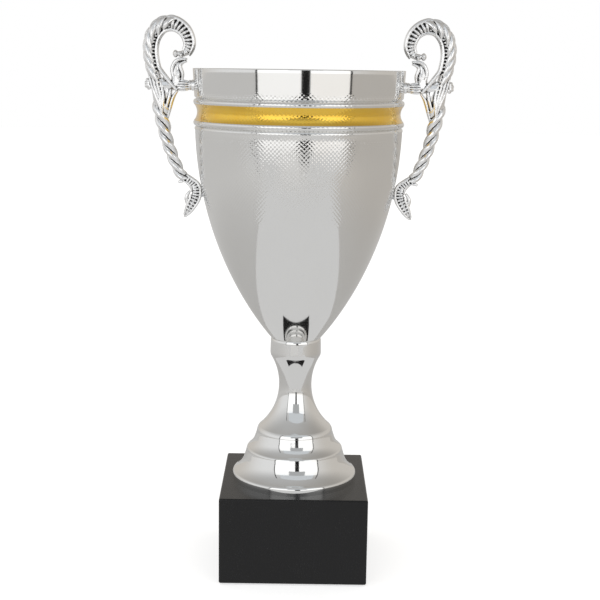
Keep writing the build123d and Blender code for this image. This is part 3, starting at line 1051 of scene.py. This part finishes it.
# ------------------------------------------------- room, lights, camera ----
# What stands round the cup is placed by an azimuth in degrees, counted from the front
# towards +X, and by its distance, width and levels in metres.
STAGE_DISTANCE = 1.25
PANEL_POWER = 1.4                    # watts; the room's own light shows through the panels
PANEL_LOW, PANEL_HIGH = 0.05, 0.95
PANELS = (("panel_left", -20.3, 23.0), ("panel_right", 32.5, 21.5))     # azimuth, half width in degrees
CARDS = (
    # name, azimuth, width, distance, low level, high level, colour
    ("slot", 6.9, 0.24, STAGE_DISTANCE + 0.12, 0.0, 0.6, (0.012, 0.012, 0.012)),
    ("header", 6.9, 0.80, STAGE_DISTANCE - 0.05, 0.5, 0.97, (0.44, 0.45, 0.46)),
    ("ceiling_edge", 6.9, 2.1, STAGE_DISTANCE, 0.95, 1.9, (0.62, 0.65, 0.68)),
    ("left_frame", -44.5, 0.05, STAGE_DISTANCE * 1.06, 0.0, 1.5, (0.02, 0.02, 0.02)),
    ("right_frame", 55.5, 0.05, STAGE_DISTANCE * 1.06, 0.0, 1.5, (0.02, 0.02, 0.02)),
)
SHEETS = (
    # back left, back right, front left and front right corner on the floor, tone
    ((-0.15, 0.16), (0.17, 0.10), (-0.46, -0.62), (0.52, -0.62), 0.66),
    ((-1.40, -0.70), (-0.33, -0.70), (-1.40, -1.25), (-0.33, -1.25), 0.64),
    ((0.17, -0.70), (1.30, -0.70), (0.17, -1.25), (1.30, -1.25), 0.66),
)
SHEET_LEVEL = 0.001
FLOOR_RADIUS = 6.0
FLOOR_GLOW = 0.62                    # what the floor adds to its own light where it is looked at
FLOOR_LEFT = (0.93, 0.935, 0.94)
FLOOR_RIGHT = (0.76, 0.725, 0.68)
ROOM_BEHIND = (0.60, 0.57, 0.53)
ROOM_BEFORE = (0.81, 0.815, 0.82)
BACKDROP = (1.0, 1.0, 1.0)
CAMERA_PLACE = (0.0025, -0.8204, 0.3451)
CAMERA_PITCH, CAMERA_ROLL = 79.14, 0.8
CAMERA_LENS, CAMERA_SENSOR = 72.76, 36


def facing_cup(azimuth, distance, low, high):
    """Placing that stands an upright flat thing at an azimuth, turned to the cup."""
    around = math.radians(azimuth)
    middle = Vector((math.sin(around) * distance, -math.cos(around) * distance, (low + high) / 2))
    turn = Matrix.Rotation(around, 4, "Z") @ Matrix.Rotation(math.pi / 2, 4, "X")
    return Matrix.Translation(middle) @ turn


def plain_sheet(name):
    """A flat square of side 1, deselected from everything else."""
    bpy.ops.object.select_all(action="DESELECT")
    bpy.ops.mesh.primitive_plane_add(size=1)
    piece = bpy.context.object
    piece.name = name
    return piece


def glow(piece, colour):
    """Makes a stage piece a plain tone that shows only in reflections."""
    paint = Finish(piece.name, base_color=(0, 0, 0), specular_ior_level=0.0, emission_color=colour,
                   emission_strength=1.0)
    piece.data.materials.append(paint.material)
    piece.visible_camera = False
    piece.visible_diffuse = False
    piece.visible_shadow = False


def card(name, azimuth, width, distance, low, high, colour):
    """Upright flat card round the cup, seen only in its reflections."""
    piece = plain_sheet(name)
    size = Matrix.Diagonal((width, high - low, 1, 1))
    piece.data.transform(facing_cup(azimuth, distance, low, high) @ size)
    glow(piece, colour)


def sheet(back_left, back_right, front_left, front_right, tone):
    """Pale sheet on the floor before the cup, seen only in its reflections."""
    piece = plain_sheet("floor_sheet")
    for vertex in piece.data.vertices:
        ends = (back_left, back_right) if vertex.co.y > 0 else (front_left, front_right)
        vertex.co = (*ends[vertex.co.x > 0], SHEET_LEVEL)
    glow(piece, (tone, tone, tone))


def softbox(name, azimuth, half_width):
    """Large soft light panel, as wide as twice the half width (degrees) seen from the cup."""
    light = bpy.data.lights.new(name, "AREA")
    light.shape = "RECTANGLE"
    light.size = 2 * STAGE_DISTANCE * math.tan(math.radians(half_width))
    light.size_y = PANEL_HIGH - PANEL_LOW
    light.energy = PANEL_POWER
    lamp = bpy.data.objects.new(name, light)
    bpy.context.scene.collection.objects.link(lamp)
    lamp.matrix_world = facing_cup(azimuth, STAGE_DISTANCE, PANEL_LOW, PANEL_HIGH)
    lamp.visible_camera = False


def floor_paper():
    """Pale paper that is near white where it is looked at; in reflections it is warmer and
    dimmer towards +X, and lighter far off."""
    paper = Finish("floor_paper", roughness=1.0, specular_ior_level=0.0, emission_color=(1.0, 1.0, 1.0))
    tree = paper.tree
    place, x, _, _ = place_coordinates(tree)
    seen = tree.nodes.new("ShaderNodeLightPath").outputs["Is Camera Ray"]
    dusk = ramp(tree, x, high=0.9)
    unseen = value(tree, "SUBTRACT", 1.0, seen)
    paper.tint(value(tree, "MULTIPLY", dusk, unseen), FLOOR_LEFT, FLOOR_RIGHT)
    far = tree.nodes.new("ShaderNodeVectorMath")
    far.operation = "LENGTH"
    tree.links.new(place, far.inputs[0])
    lift = ramp(tree, far.outputs["Value"], low=0.25, high=1.0, last=0.10)
    strength = value(tree, "MULTIPLY_ADD", seen, FLOOR_GLOW, lift)
    tree.links.new(strength, paper.shader.inputs["Emission Strength"])
    return paper


def make_floor():
    bpy.ops.object.select_all(action="DESELECT")
    bpy.ops.mesh.primitive_circle_add(vertices=128, radius=FLOOR_RADIUS, fill_type="NGON")
    floor = bpy.context.object
    floor.name = "floor"
    floor.data.materials.append(floor_paper().material)


def room_light():
    """World light: warm behind the cup, neutral before it and dimmer overhead, with a plain
    white backdrop where it is looked at."""
    world = bpy.data.worlds.new("studio")
    bpy.context.scene.world = world
    world.use_nodes = True
    tree = world.node_tree
    where = tree.nodes.new("ShaderNodeTexCoord").outputs["Generated"]
    facing = tree.nodes.new("ShaderNodeVectorMath")
    facing.operation = "DOT_PRODUCT"
    facing.inputs[1].default_value = (-0.45, -0.89, 0.0)
    tree.links.new(where, facing.inputs[0])
    before = ramp(tree, facing.outputs["Value"], low=-0.7, high=0.8)
    split = tree.nodes.new("ShaderNodeSeparateXYZ")
    tree.links.new(where, split.inputs[0])
    overhead = ramp(tree, split.outputs["Z"], low=0.25, high=0.85, first=1.0, last=0.60)
    dimmed = tree.nodes.new("ShaderNodeVectorMath")
    dimmed.operation = "SCALE"
    tree.links.new(mixed(tree, before, ROOM_BEHIND, ROOM_BEFORE), dimmed.inputs[0])
    tree.links.new(overhead, dimmed.inputs["Scale"])
    seen = tree.nodes.new("ShaderNodeLightPath").outputs["Is Camera Ray"]
    colour = mixed(tree, seen, dimmed.outputs[0], BACKDROP)
    tree.links.new(colour, tree.nodes["Background"].inputs["Color"])


def studio():
    """Pale floor and soft light: two tall panels by the camera with a dark slot between them,
    a grey header over the slot, a dark frame at each far edge and pale sheets on the floor."""
    bpy.context.scene.view_settings.view_transform = "Standard"
    make_floor()
    room_light()
    for corners_and_tone in SHEETS:
        sheet(*corners_and_tone)
    for panel in PANELS:
        softbox(*panel)
    for measures in CARDS:
        card(*measures)


def camera():
    data = bpy.data.cameras.new("camera")
    data.lens = CAMERA_LENS
    data.sensor_width = CAMERA_SENSOR
    seat = bpy.data.objects.new("camera", data)
    bpy.context.scene.collection.objects.link(seat)
    pitch = Matrix.Rotation(math.radians(CAMERA_PITCH), 4, "X")
    roll = Matrix.Rotation(math.radians(CAMERA_ROLL), 4, "Z")
    seat.matrix_world = Matrix.Translation(CAMERA_PLACE) @ pitch @ roll
    bpy.context.scene.camera = seat


# ------------------------------------------------------------------ main ----
finishes = {
    "silver": silver_plate(),
    "hammered": hammered_silver(),
    "gold": gold_finish(),
    "cast": cast_silver(),
    "marble": black_marble(),
    "steel": zinc_steel(),
    "thread": threaded_steel(),
    "felt": black_felt(),
}
make_foot(finishes["silver"])
make_stem(finishes["silver"])
make_collar(finishes["silver"])
make_bowl(finishes["hammered"])
make_gold_band(finishes["gold"])
make_handles(finishes["cast"])
make_pads(finishes["felt"])
dress_cad_nodes(finishes)
studio()
camera()
